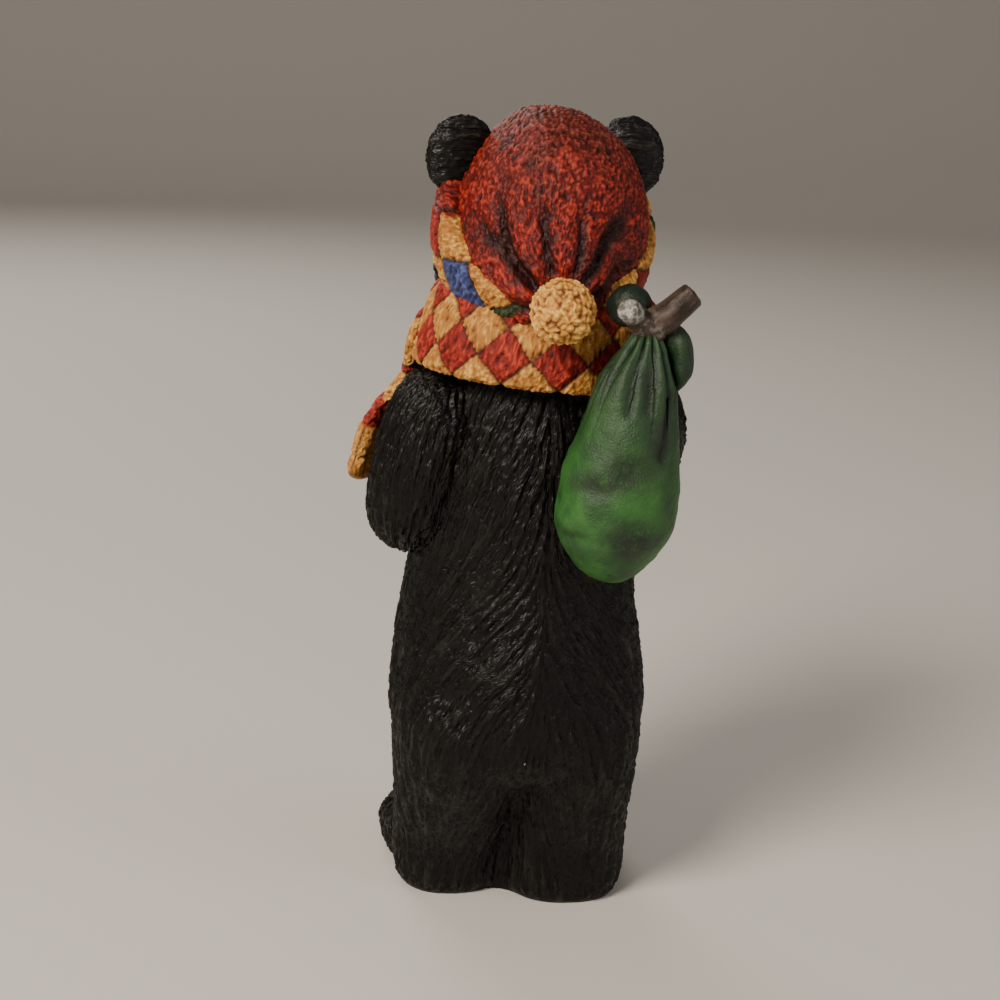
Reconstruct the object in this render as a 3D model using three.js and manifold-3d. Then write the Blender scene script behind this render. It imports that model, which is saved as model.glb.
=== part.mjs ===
// A bear figurine, cast in resin as one solid: a black bear stands upright in a knitted stocking cap and a
// lozenge scarf, with a stick over its right shoulder and a bundle tied to the stick behind its back.
// Millimetres, +Z up. The bear faces -Y and its left side is +X. The soles stand on Z = 0.

import * as THREE from 'three';
import { mergeVertices } from 'three/addons/utils/BufferGeometryUtils.js';
import Module from 'manifold-3d';

const wasm = await Module();
wasm.setup();

// Driving dimensions
const HEIGHT = 181.5; // soles to the crown of the cap
const EAR_WIDTH = 15;
const EAR_HEIGHT = 17.4;
const EAR_THICKNESS = 6.5;
const MUZZLE_LENGTH = 12.5; // in front of its root
const NOSE_WIDTH = 7.6;
const EYE_DIAMETER = 3.6;
const CAP_FOLDS = 13; // gathers round the pompom
const CAP_FOLD_DEPTH = 1.3;
const POMPOM_DIAMETER = 13.4;
const BAND_WIDTH = 13; // turned-up brim of the cap, across its knitting
const BAND_THICKNESS = 5.4;
const BAND_LOZENGES = 10;
const SCARF_WIDTH = 18;
const SCARF_THICKNESS = 5.6;
const SCARF_LOZENGES = 14;
const LOZENGE_RELIEF = 0.8; // how far a lozenge's middle stands over the lines cut between lozenges
const TAIL_WIDTH = 19;
const TAIL_THICKNESS = 4;
const FRINGE_STRANDS = 5;
const STICK_THICKNESS = 5.6;
const BUNDLE_WIDTH = 25.4;
const BUNDLE_DEPTH = 24;
const BUNDLE_FOLDS = 11;
const BUNDLE_FOLD_DEPTH = 1.3;
const TOES = 5; // on each foot
const TOE_DIAMETER = 7.6;
const FINGERS = 4; // on each paw
const FINGER_DIAMETER = 6.4;
const FUR_LOCKS = 13; // ridges of fur round the body
const FUR_RELIEF = 0.7;

// The pose below is written in parts of the height, 181.5 of them, and follows it
const share = HEIGHT / 181.5;
const place = (x, y, z) => new THREE.Vector3(x, y, z).multiplyScalar(share);

const X_AXIS = new THREE.Vector3(1, 0, 0);
const Z_AXIS = new THREE.Vector3(0, 0, 1);
const TURN = Math.PI * 2;
const MAX_SHARE = 1 - 1e-9; // the last point of a curve, kept off its end

// A closed geometry as a solid that can be joined and cut
function solid(geometry) {
  geometry.deleteAttribute('normal');
  geometry.deleteAttribute('uv');
  const merged = mergeVertices(geometry, 1e-4);
  const corners = merged.index.array;
  const triangles = [];
  for (let i = 0; i < corners.length; i += 3) {
    const [a, b, c] = corners.slice(i, i + 3);
    if (a !== b && b !== c && c !== a) triangles.push(a, b, c);
  }
  return new wasm.Manifold(
    new wasm.Mesh({
      numProp: 3,
      vertProperties: new Float32Array(merged.attributes.position.array),
      triVerts: new Uint32Array(triangles),
    }),
  );
}

// A solid as a geometry for a mesh
function geometryOf(manifold) {
  const mesh = manifold.getMesh();
  const geometry = new THREE.BufferGeometry();
  geometry.setAttribute('position', new THREE.BufferAttribute(mesh.vertProperties, 3));
  geometry.setIndex(new THREE.BufferAttribute(mesh.triVerts, 1));
  geometry.computeVertexNormals();
  return geometry;
}

const joined = (forms) => forms.reduce((all, form) => all.add(form));

const drawn = (value, power) => Math.sign(value) * Math.abs(value) ** power;

// Moves every vertex of a geometry to where the rule puts it
function reshape(geometry, rule) {
  const points = geometry.attributes.position;
  const p = new THREE.Vector3();
  for (let i = 0; i < points.count; i += 1) {
    p.fromBufferAttribute(points, i);
    const q = rule(p);
    points.setXYZ(i, q.x, q.y, q.z);
  }
  return geometry;
}

// A rounded form on its own centre. radii are its half sizes, turn its Euler angles in degrees, and carve(direction)
// gives how far the surface stands proud there.
function ball(centre, radii, { turn = [0, 0, 0], around = 12, rows = 8, carve = () => 0 } = {}) {
  const rotation = new THREE.Euler(...turn.map(THREE.MathUtils.degToRad));
  const half = new THREE.Vector3(...radii);
  return solid(
    reshape(new THREE.SphereGeometry(1, around, rows), (p) => {
      const direction = p.clone();
      return p
        .clone()
        .multiply(half)
        .addScaledVector(direction, carve(direction))
        .applyEuler(rotation)
        .add(centre);
    }),
  );
}

// A rounded form along a line of stations [x, y, z, half width, half depth], for the pose's height. Its ends are
// domes that take up the share called dome of its length. across is the direction of its width. square under 1 draws
// its section out towards a rectangle, and carve(share along, angle) gives how far the surface stands proud.
function limb(stations, options = {}) {
  const { around = 14, rows = 10, across = X_AXIS, dome = 0.14, grow = share, square = 1, carve = () => 0 } = options;
  const spine = new THREE.CatmullRomCurve3(stations.map(([x, y, z]) => place(x, y, z)));
  const girth = new THREE.CatmullRomCurve3(
    stations.map(([, , , wide, deep]) => new THREE.Vector3(wide * grow, deep * grow, 0)),
  );
  return solid(
    reshape(new THREE.SphereGeometry(1, around, rows), (p) => {
      const along = Math.acos(THREE.MathUtils.clamp(p.y, -1, 1)) / Math.PI;
      const angle = Math.atan2(p.z, p.x);
      const toEnd = Math.min(along, 1 - along) / dome;
      const closing = toEnd < 1 ? Math.sqrt(1 - (1 - toEnd) ** 2) : 1;
      const t = Math.min(along, MAX_SHARE);
      const tangent = spine.getTangent(t);
      const width = across.clone().addScaledVector(tangent, -across.dot(tangent)).normalize();
      const depth = new THREE.Vector3().crossVectors(tangent, width);
      const size = girth.getPoint(t);
      const proud = closing * carve(along, angle);
      return spine
        .getPoint(t)
        .addScaledVector(width, drawn(Math.cos(angle), square) * (size.x * closing + proud))
        .addScaledVector(depth, drawn(Math.sin(angle), square) * (size.y * closing + proud));
    }),
  );
}

// How proud fur stands: locks in staggered rows, round a form and along it
function fur(locks, tiers) {
  return (along, angle) => {
    const tier = Math.floor(along * tiers);
    const lean = (tier % 2) * 0.5;
    return FUR_RELIEF * (Math.abs(Math.sin(Math.PI * ((angle / TURN) * locks + lean))) - 0.5);
  };
}

// How proud a lozenge pattern stands. u counts lozenges round the band, and v counts them across it.
function lozenge(u, v) {
  const down = Math.abs(Math.sin(Math.PI * (u + v)));
  const up = Math.abs(Math.sin(Math.PI * (u - v)));
  return LOZENGE_RELIEF * (Math.sqrt(down * up) - 0.5);
}

// Torso, from between the thighs up into the head
function torso() {
  const stations = [
    [0.6, 1, 29, 14, 14],
    [0.9, 0.5, 38, 26, 22.5],
    [1.2, 0, 50, 29.4, 25.5],
    [1.6, -1, 62, 28.3, 25.5],
    [1.6, -1.5, 78, 26, 24],
    [1.2, 0, 94, 24.2, 22],
    [0.6, 1, 108, 23.5, 20],
    [0, 1, 122, 21, 17.5],
    [0, 0, 138, 13, 13],
  ];
  return limb(stations, { around: FUR_LOCKS * 2, rows: 11, dome: 0.1, carve: fur(FUR_LOCKS, 6) });
}

// Leg and foot. side is 1 for the left and -1 for the right. hip and ankle are how far the leg's middle stands from
// the figure's and its half width, stride is how far back it stands at the ground, and toeOut how far it turns
// outwards, in degrees.
function leg(side, { hip, ankle, stride, toeOut }) {
  const station = (z, part, narrower, deep) => {
    const [stance, wide] = [0, 1].map((k) => THREE.MathUtils.lerp(hip[k], ankle[k], part));
    return [stance * side, THREE.MathUtils.lerp(1, stride, part), z, wide - narrower, deep];
  };
  const column = limb(
    [
      station(62, 0, 1.5, 18),
      station(46, 0, 0, 21.5),
      station(30, 0.45, 0, 18),
      station(16, 0.9, 0, 14.6),
      station(5, 1, 0, 13.2),
      station(-5, 1, 0.6, 12.6),
    ],
    { around: 18, rows: 10, dome: 0.16, square: 0.84, carve: fur(9, 5) },
  );
  const turn = THREE.MathUtils.degToRad(toeOut) * side;
  const forward = new THREE.Vector3(Math.sin(turn), -Math.cos(turn), 0);
  const sideways = new THREE.Vector3(Math.cos(turn), Math.sin(turn), 0);
  const onFoot = (ahead, out, up) =>
    place(ankle[0] * side, stride, up)
      .addScaledVector(forward, ahead * share)
      .addScaledVector(sideways, out * share);
  const foot = ball(onFoot(13, 0, 6), [13.2, 18, 10].map((r) => r * share), {
    turn: [0, 0, toeOut * side],
    around: 14,
    rows: 7,
  });
  const toes = Array.from({ length: TOES }, (_, i) => {
    const out = (i / (TOES - 1) - 0.5) * 16;
    const size = TOE_DIAMETER / 2;
    return ball(onFoot(28.5 - (out * out) / 14, out, 4.6), [size, size * 1.3, size * 1.1], { around: 6, rows: 4 });
  });
  return joined([column, foot, ...toes]);
}

// What closes the gap between the legs, set back from their heels
function betweenLegs() {
  const stations = [
    [0.6, 2, 40, 8, 14],
    [0.4, 0, 24, 7, 9],
    [-0.5, -4, 10, 7, 8],
    [-0.5, -4, -6, 7, 8],
  ];
  return limb(stations, { around: 10, rows: 6 });
}

// A paw with its fingers laid side by side. across is the direction the fingers are set out in, and reach the
// direction they point in.
function paw(centre, radii, across, reach) {
  const palm = ball(centre, radii.map((r) => r * share));
  const fingers = [];
  for (let i = 0; i < FINGERS; i += 1) {
    const out = (i / (FINGERS - 1) - 0.5) * 12.5 * share;
    const at = centre.clone().addScaledVector(across, out).addScaledVector(reach, 6.5 * share);
    const size = FINGER_DIAMETER / 2;
    fingers.push(ball(at, [size, size, size], { around: 6, rows: 4 }));
  }
  return joined([palm, ...fingers]);
}

// Left arm: it hangs from the shoulder and is bent at the elbow, with the paw on the belly
function leftArm() {
  const stations = [
    [14, 3, 124, 8, 9],
    [23.5, 1, 116, 11.5, 13],
    [27, 1, 105, 11, 13],
    [27.6, 0, 95, 10.9, 11],
    [25, -12, 92.5, 9.5, 9],
    [18, -25, 93, 8.5, 8.5],
    [10, -30, 94, 7.5, 7.5],
  ];
  const arm = limb(stations, { rows: 12, carve: fur(7, 6) });
  const along = new THREE.Vector3(-0.9, -0.35, 0.1).normalize();
  return joined([arm, paw(place(11, -29, 93), [8.5, 6.5, 8], Z_AXIS, along)]);
}

// Right arm: its elbow points forwards, and the paw holds the stick in front of the shoulder
function rightArm() {
  const stations = [
    [-13, 3, 124, 8, 9],
    [-21.5, 1, 115, 11, 12],
    [-23.5, -8, 103, 10.5, 11],
    [-23.5, -18, 96, 10, 10],
    [-21.5, -28, 101, 9, 9],
    [-20, -31, 110, 8, 8],
  ];
  const arm = limb(stations, { rows: 11, carve: fur(7, 6) });
  const grip = new THREE.Vector3(0, -0.62, -0.78).normalize();
  return joined([arm, paw(place(-20.5, -32, 111), [8, 8, 7.5], grip, new THREE.Vector3(0.75, -0.5, 0.4))]);
}

// The cap's brim is worn high on the brow and low on the nape
const brimTilt = THREE.MathUtils.degToRad(40.8);
const pompomCentre = place(2.6, 32, 143.7);

// Head without the cap: skull, muzzle, nose, lower jaw, cheeks, eyes and ears
function head() {
  const skull = ball(place(1.4, -2, 155), [20.5, 20.5, 19].map((r) => r * share), { around: 14, rows: 9 });
  const muzzleRoot = place(1.4, -19, 150.2);
  const muzzle = ball(muzzleRoot, [9.2 * share, MUZZLE_LENGTH, 7.6 * share], { turn: [-4, 0, 0] });
  const noseCentre = muzzleRoot.clone().add(new THREE.Vector3(0, -MUZZLE_LENGTH * 0.92, 3.4 * share));
  const nose = ball(noseCentre, [NOSE_WIDTH / 2, NOSE_WIDTH * 0.4, NOSE_WIDTH * 0.36], { around: 8, rows: 5 });
  const jaw = ball(place(1.4, -18, 144.6), [6.6, 9.5, 4.4].map((r) => r * share), { around: 10, rows: 6 });
  const eyeRadii = Array(3).fill(EYE_DIAMETER / 2);
  const pairs = [1, -1].flatMap((side) => [
    ball(place(1.4 + 11 * side, -10, 146), [11, 11, 9.5].map((r) => r * share), { around: 10, rows: 7 }),
    ball(place(1.4 + 7.4 * side, -20.9, 157.2), eyeRadii, { around: 6, rows: 4 }),
    ear(side),
  ]);
  return joined([skull, muzzle, nose, jaw, ...pairs]);
}

// An ear: a thick disc that leans to the middle at its top, cupped on its front face
function ear(side) {
  return ball(place(1.4 + 18.4 * side, -3, 171.4 - 0.6 * side), [EAR_WIDTH / 2, EAR_THICKNESS / 2, EAR_HEIGHT / 2], {
    turn: [0, -10 * side, 8 * side],
    around: 12,
    rows: 8,
    carve: (d) => -0.45 * EAR_THICKNESS * Math.max(0, -d.y) ** 3,
  });
}

// Cap: a dome over the skull, fuller down at its brim, pressed in behind the left ear and gathered to the pompom at
// the back
function cap() {
  const { smoothstep } = THREE.MathUtils;
  const centre = place(1.8, 3.8, 157.05);
  const toPompom = pompomCentre.clone().sub(centre).normalize();
  const upright = new THREE.Quaternion().setFromUnitVectors(new THREE.Vector3(0, 1, 0), toPompom);
  const half = new THREE.Vector3(20.7, 20.8, 24.4).multiplyScalar(share);
  const overBrim = new THREE.Vector3(0, Math.sin(brimTilt), Math.cos(brimTilt));
  const leftEar = new THREE.Vector3(0.86, 0.25, 0.44).normalize();
  const dome = reshape(new THREE.SphereGeometry(1, CAP_FOLDS * 2, 10), (p) => {
    const near = smoothstep(p.y, -0.1, 0.9);
    const ring = Math.min(1, Math.hypot(p.x, p.z) * 2);
    const fold = Math.cos(Math.atan2(p.z, p.x) * CAP_FOLDS) * CAP_FOLD_DEPTH * 0.5 * near * ring;
    const direction = p.clone().applyQuaternion(upright);
    const neck = 1 + 0.18 * smoothstep(p.y, 0.8, 1);
    const fuller = 0.045 * (1 - smoothstep(direction.dot(overBrim), -0.1, 1.4));
    const pressed = 0.14 * smoothstep(direction.dot(leftEar), 0.6, 1);
    return direction
      .clone()
      .multiply(half)
      .multiplyScalar(neck + fuller - pressed)
      .addScaledVector(direction, fold)
      .add(centre);
  });
  const pompom = ball(pompomCentre, Array(3).fill(POMPOM_DIAMETER / 2));
  return joined([solid(dome), brim(), pompom]);
}

// A knitted ring with lozenges on its outer face, tiers of them high. radii are the ring's half sizes at its middle,
// flare is how far its lower edge stands out beyond its upper one, and halves is how many half lozenges the pattern
// is turned by. Each half lozenge is one face of the lathe wide and one high, so that every corner is a crossing of
// the cut lines or the middle of a lozenge.
function knittedRing(radii, width, thickness, { lozenges, tiers, flare = 0, halves = 0 }) {
  const steps = tiers * 2;
  const outer = Array.from({ length: steps + 1 }, (_, j) => new THREE.Vector2(1, j / steps - 0.5));
  const section = [...outer, new THREE.Vector2(0.6, 0), outer[0]];
  const columns = lozenges * 2;
  const ring = new THREE.LatheGeometry(section, columns);
  const corners = ring.index;
  for (let i = 0; i < columns; i += 1) {
    for (let j = 0; j < steps; j += 1) {
      if ((i + j + halves) % 2 === 1) {
        const at = (i * (section.length - 1) + j) * 6;
        const a = i * section.length + j;
        const b = a + section.length;
        [a, b, b + 1, a, b + 1, a + 1].forEach((corner, k) => corners.setX(at + k, corner));
      }
    }
  }
  return reshape(ring, (p) => {
    const angle = Math.atan2(p.x, p.z);
    const outside = Math.hypot(p.x, p.z) > 0.8;
    const rounded = thickness * 0.5 * Math.sqrt(Math.max(0, 1 - (1.75 * p.y) ** 2));
    const u = (angle / TURN) * lozenges + halves / 2;
    const v = (p.y + 0.5) * tiers - 0.5;
    const proud = outside ? rounded + lozenge(u, v) : -thickness;
    const out = new THREE.Vector3(Math.sin(angle), -Math.cos(angle), 0);
    return new THREE.Vector3(radii[0] * out.x, radii[1] * out.y, 0)
      .addScaledVector(out, proud - flare * p.y)
      .addScaledVector(Z_AXIS, p.y * width);
  });
}

// Brim of the cap, turned up and tilted
function brim() {
  const ring = knittedRing([21.1 * share, 23.7 * share], BAND_WIDTH, BAND_THICKNESS, {
    lozenges: BAND_LOZENGES,
    tiers: 1,
  });
  ring.rotateX(-brimTilt);
  ring.translate(...place(1.8, 1.2, 155.4).toArray());
  return solid(ring);
}

// The wrap of the scarf lies higher on the left shoulder
const wrapTilt = THREE.MathUtils.degToRad(3.5);

// Scarf: a wide wrap round the neck, its knot on the chest, one tail over the left shoulder and one down the front
function scarf() {
  const wrap = knittedRing([23.6 * share, 20.5 * share], SCARF_WIDTH, SCARF_THICKNESS, {
    lozenges: SCARF_LOZENGES,
    tiers: 1.5,
    flare: 4 * share,
    halves: 1,
  });
  wrap.rotateY(-wrapTilt);
  wrap.translate(...place(0.5, 0.5, 134.4).toArray());
  const knot = ball(place(9, -22, 130), [7, 5.5, 6.5].map((r) => r * share), { around: 10, rows: 7 });
  const overShoulder = tail(
    [
      [15, -11, 141],
      [25.5, -12, 134.5],
      [28, -12.5, 122],
      [32.5, -12.5, 112.5],
      [38.2, -12.5, 97],
    ],
    new THREE.Vector3(-0.45, -0.89, 0),
  );
  const downFront = tail(
    [
      [9, -20, 132],
      [7, -26.5, 124],
      [4, -29, 112],
      [1.5, -30, 101],
      [0, -30.5, 88],
    ],
    X_AXIS,
  );
  return joined([solid(wrap), knot, overShoulder, downFront]);
}

// A hanging end of the scarf along its stations [x, y, z], with a fringe at its lower end
function tail(line, across) {
  const wide = TAIL_WIDTH / 2;
  const thick = TAIL_THICKNESS / 2;
  const widths = [0.72, 0.9, 1, 1, 1.04];
  const stations = line.map(([x, y, z], i) => [x, y, z, wide * widths[i], thick]);
  const fringeStart = 0.8;
  const carve = (along, angle) => {
    const sideways = Math.cos(angle);
    if (along < fringeStart) return lozenge(sideways * 0.5 + 0.5, along * 3.4) * 0.7;
    return 0.8 * Math.abs(Math.sin((Math.PI / 2) * (sideways + 1) * FRINGE_STRANDS)) - 0.5;
  };
  return limb(stations, { around: FRINGE_STRANDS * 4, rows: 9, across, dome: 0.05, grow: 1, carve });
}

// Stick over the right shoulder, forked at its end behind the back
function stick() {
  const r = STICK_THICKNESS / 2;
  const thick = (line, sizes) => line.map(([x, y, z], i) => [x, y, z, r * sizes[i], r * sizes[i]]);
  const shape = { around: 8, rows: 9, dome: 0.03, grow: 1 };
  const shaft = thick(
    [
      [-19, -44, 104],
      [-20.5, -32, 110.5],
      [-25, -14, 120],
      [-26, 2, 129],
      [-21, 18, 135.5],
      [-15, 33, 141],
    ],
    [0.95, 1, 1, 1, 1.05, 1.15],
  );
  const longProng = thick(
    [
      [-14.5, 30, 140.5],
      [-18.5, 31.5, 143],
      [-24.2, 32.8, 148.6],
    ],
    [1.15, 1.1, 0.95],
  );
  const shortProng = thick(
    [
      [-16, 30, 139.5],
      [-12.5, 33, 143],
      [-9.3, 36.6, 145.6],
    ],
    [1, 0.9, 0.8],
  );
  return joined([
    limb(shaft, shape),
    limb(longProng, { ...shape, rows: 6, dome: 0.08 }),
    limb(shortProng, { ...shape, rows: 6, dome: 0.08 }),
  ]);
}

// Bundle: a filled cloth bag hanging from the fork, pleated at its neck, with two ends tied round the stick
function bundle() {
  const wide = BUNDLE_WIDTH / 2;
  const deep = BUNDLE_DEPTH / 2;
  const stations = [
    [-15.6, 31, 141, 0.28, 0.32],
    [-15.3, 31, 137, 0.34, 0.4],
    [-14.2, 31.2, 129, 0.64, 0.62],
    [-13.2, 31.2, 120.5, 0.79, 0.8],
    [-12.2, 31, 109, 0.98, 0.97],
    [-11.5, 30.5, 101, 1, 1],
    [-11.7, 30, 93, 0.88, 0.9],
    [-12.3, 29.5, 86.4, 0.7, 0.75],
  ].map(([x, y, z, w, d]) => [x, y, z, w * wide, d * deep]);
  const pleat = (along, angle) =>
    BUNDLE_FOLD_DEPTH * (1 - THREE.MathUtils.smoothstep(along, 0.15, 0.62)) * Math.cos(angle * BUNDLE_FOLDS);
  const bag = limb(stations, { around: BUNDLE_FOLDS * 2, rows: 11, dome: 0.3, grow: 1, carve: pleat });
  const tiedEnd = limb(
    [
      [-19, 30, 139, 2.5, 3],
      [-21.8, 29.5, 138.5, 2.6, 3.4],
      [-23.2, 29.5, 133.5, 2.5, 4],
      [-22.6, 30, 127.6, 1.8, 3],
    ],
    { around: 10, rows: 8, dome: 0.2 },
  );
  const overStick = ball(place(-12, 27.5, 144.6), [4.6, 4.2, 4.4].map((r) => r * share), { around: 10, rows: 6 });
  return joined([bag, tiedEnd, overStick]);
}

// All of it is one casting, cut off flat under the feet
function casting() {
  const leftLeg = leg(1, { hip: [15, 14.4], ankle: [13.8, 12.9], stride: -9.3, toeOut: 6 });
  const rightLeg = leg(-1, { hip: [13.3, 13.4], ankle: [12.8, 14.3], stride: -3.4, toeOut: 6 });
  const body = [torso(), leftLeg, rightLeg, betweenLegs(), leftArm(), rightArm(), head()];
  const bear = joined([...body, cap(), scarf(), stick(), bundle()]);
  const room = new THREE.BoxGeometry(HEIGHT * 2, HEIGHT * 2, HEIGHT).translate(0, 0, -HEIGHT / 2);
  const standing = bear.subtract(solid(room));
  const { min, max } = standing.boundingBox();
  return standing.translate([-(min[0] + max[0]) / 2, -(min[1] + max[1]) / 2, 0]);
}

const resin = new THREE.MeshStandardMaterial({ color: 0x15120f, roughness: 0.55, metalness: 0 });
const figurine = new THREE.Mesh(geometryOf(casting()), resin);
figurine.name = 'bear_figurine';

const group = new THREE.Group();
group.add(figurine);
export default group;
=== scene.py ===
"""A bear figurine in cast resin: black carved fur, a knitted cap and scarf, a stick and a cloth bundle."""

import math

import bpy
import numpy as np
from mathutils import Matrix, Vector, kdtree


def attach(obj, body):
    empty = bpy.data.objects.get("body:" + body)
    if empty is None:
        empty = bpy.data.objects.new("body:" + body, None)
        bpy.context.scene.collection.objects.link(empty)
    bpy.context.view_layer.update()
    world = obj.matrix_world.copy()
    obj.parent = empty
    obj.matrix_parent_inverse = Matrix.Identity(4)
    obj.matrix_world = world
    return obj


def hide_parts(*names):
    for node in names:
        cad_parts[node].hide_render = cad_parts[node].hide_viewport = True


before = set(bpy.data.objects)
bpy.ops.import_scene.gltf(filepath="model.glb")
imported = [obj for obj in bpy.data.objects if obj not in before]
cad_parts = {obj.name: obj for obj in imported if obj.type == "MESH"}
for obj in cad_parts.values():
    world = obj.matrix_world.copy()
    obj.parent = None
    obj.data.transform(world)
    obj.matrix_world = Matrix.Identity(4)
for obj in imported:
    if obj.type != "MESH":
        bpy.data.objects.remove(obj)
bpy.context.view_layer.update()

# Sizes of the casting, in millimetres, in the frame that its pose is written in
MIDDLE = np.array([2.845, -0.745, 0.0])  # middle of the figure's box
EAR_WIDTH = 15
EAR_HEIGHT = 17.4
EAR_THICKNESS = 6.5
MUZZLE_LENGTH = 12.5
NOSE_WIDTH = 7.6
EYE_DIAMETER = 3.6
POMPOM_DIAMETER = 13.4
BAND_WIDTH = 13
BAND_THICKNESS = 5.4
BAND_LOZENGES = 10
BAND_TILT = 40.8  # degrees, high on the brow and low on the nape
SCARF_WIDTH = 18
SCARF_THICKNESS = 5.6
SCARF_LOZENGES = 14
SCARF_FLARE = 4
SCARF_TILT = 3.5
TAIL_WIDTH = 19
TAIL_THICKNESS = 4
FRINGE_STRANDS = 5
STICK_THICKNESS = 5.6
BUNDLE_WIDTH = 25.4
BUNDLE_DEPTH = 24
BUNDLE_FOLDS = 11
TOES = 5
TOE_DIAMETER = 7.6
FINGERS = 4
FINGER_DIAMETER = 6.4

HEAD_MIDDLE = 1.4  # how far the middle of the face lies to the figure's left
HEAD_CENTRE = np.array([HEAD_MIDDLE, -2, 155])
MUZZLE_ROOT = np.array([HEAD_MIDDLE, -19, 150.2])
NOSE_CENTRE = MUZZLE_ROOT + [0, -MUZZLE_LENGTH * 0.92, 3.4]
NOSE_RADII = (NOSE_WIDTH / 2, NOSE_WIDTH * 0.4, NOSE_WIDTH * 0.36)
CAP_CENTRE = np.array([1.8, 3.8, 157.05])
CAP_RADII = np.array([20.7, 20.8, 24.4])
BAND_CENTRE = np.array([1.8, 1.2, 155.4])
BAND_RADII = (21.1, 23.7)
SCARF_CENTRE = np.array([0.5, 0.5, 134.4])
SCARF_RADII = (23.6, 20.5)
KNOT_CENTRE = np.array([9, -22, 130])
POMPOM_CENTRE = np.array([2.6, 32, 143.7])
OVER_STICK = (-12, 27.5, 144.6)  # the cloth's corner that lies over the stick
STICK_END = (-9.8, 36.8, 145.6)  # the pale cut end of the shorter prong

# Folds of the cap: angle round the pompom, drift with distance from it, reach and depth
CAP_VALLEYS = [
    (2, 0, 1.3, -0.8),
    (33, -13, 1.35, 1.3),
    (15, 29, 1.25, 1.7),
    (68, 8, 0.9, 1.3),
    (116, -8, 0.85, 1.2),
    (138, 7, 1.15, 2.0),
    *((171 + 27.5 * k, 6 * math.sin(k * 2.4), 1.0 + 0.25 * math.sin(k * 1.7), 1.1) for k in range(7)),
]

# Dents of the bundle, each by its centre and half sizes
BUNDLE_DENTS = [
    ((-4.5, 42, 109), (5, 5, 2.2)),
    ((-11, 43, 113), (4, 5, 3)),
    ((-1.5, 38, 97.5), (4, 6, 1.6)),
]

# Grooves of the bundle's neck: from, to, half width and depth
BUNDLE_GROOVES = [
    ((-12.4, 37, 137.3), (-10.3, 40.5, 125), 1.3, 1.5),
    ((-15.3, 37, 137.6), (-14.6, 40.5, 125.9), 1.5, 1.3),
    ((-19.3, 36, 127.5), (-18.1, 39.5, 116), 1.5, 1.2),
    ((-7.6, 33, 135), (-3.4, 36, 124), 1.4, 0.8),
]

# Dark washes on the bundle: centre, half sizes and strength
WASHES = [
    ((-10.5, 43, 113), (7, 9, 6), 0.85),
    ((-4, 41, 110), (6, 9, 3.5), 0.8),
    ((-13, 42, 98.5), (7.5, 9, 5.5), 0.95),
    ((-17, 39, 119), (4, 8, 10), 0.75),
]

# Specks of pale dirt in the fur
SPECKS = [(22.2, 22, 105.3), (15.6, 24, 94.6), (2.8, 24, 42.2)]

PARTING = 0.5  # where the fur parts, down the back and the chest
STRETCH = 0.12  # a length along a hair counts this much in its noise, so that the hair comes out long
LOCK_LENGTH = 9
LOOP_SIZE = 0.85  # from one loop of the knitting to the next
POMPOM_LOOP = 1.1

# How the fur fans out from its parting: a little everywhere, more above the legs, less again up the back
FAN_LEAST = 0.15
FAN_MORE = 0.8
FAN_BEGINS = (38, 62)
FAN_EASING = 0.62
FAN_EASES = (72, 96)

# Triangles kept in each piece that is thinned
BODY_FACES = 190000
ARM_FACES = 65000
HEAD_FACES = 85000
STICK_FACES = 25000
TIES_FACES = 10000

TURN = 2 * math.pi
MM = 0.001


# Forms


def unit(v):
    return v / np.maximum(np.linalg.norm(v, axis=-1, keepdims=True), 1e-12)


def smoothstep(low, high, x):
    t = np.clip((x - low) / (high - low), 0, 1)
    return t * t * (3 - 2 * t)


def drawn(value, power):
    return np.sign(value) * np.abs(value) ** power


def turned(degrees):
    """The turn about X, Y and Z, in that order of factors."""
    x, y, z = np.radians(degrees)
    about_x = [[1, 0, 0], [0, np.cos(x), -np.sin(x)], [0, np.sin(x), np.cos(x)]]
    about_y = [[np.cos(y), 0, np.sin(y)], [0, 1, 0], [-np.sin(y), 0, np.cos(y)]]
    about_z = [[np.cos(z), -np.sin(z), 0], [np.sin(z), np.cos(z), 0], [0, 0, 1]]
    return np.array(about_x) @ np.array(about_y) @ np.array(about_z)


def on_curve(points, share):
    """Points on the smooth curve through points, at shares from 0 to 1."""
    points = np.asarray(points, float)
    row = np.vstack([2 * points[0] - points[1], points, 2 * points[-1] - points[-2]])
    at = np.clip(share, 0, 1 - 1e-9) * (len(points) - 1)
    first = np.floor(at).astype(int)
    w = (at - first)[:, None]
    p0, p1, p2, p3 = (row[first + k] for k in range(4))
    gaps = [np.sum((b - a) ** 2, 1)[:, None] ** 0.25 for a, b in ((p0, p1), (p1, p2), (p2, p3))]
    d1 = np.where(gaps[1] < 1e-4, 1, gaps[1])
    d0 = np.where(gaps[0] < 1e-4, d1, gaps[0])
    d2 = np.where(gaps[2] < 1e-4, d1, gaps[2])
    m1 = ((p1 - p0) / d0 - (p2 - p0) / (d0 + d1) + (p2 - p1) / d1) * d1
    m2 = ((p2 - p1) / d1 - (p3 - p1) / (d1 + d2) + (p3 - p2) / d2) * d1
    return p1 + m1 * w + (3 * (p2 - p1) - 2 * m1 - m2) * w**2 + (2 * (p1 - p2) + m1 + m2) * w**3


def outward(points, faces):
    a, b, c = (points[faces[:, k]] for k in range(3))
    if np.sum(np.cross(a, b) * c) < 0:
        faces = faces[:, ::-1]
    return points, faces


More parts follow.
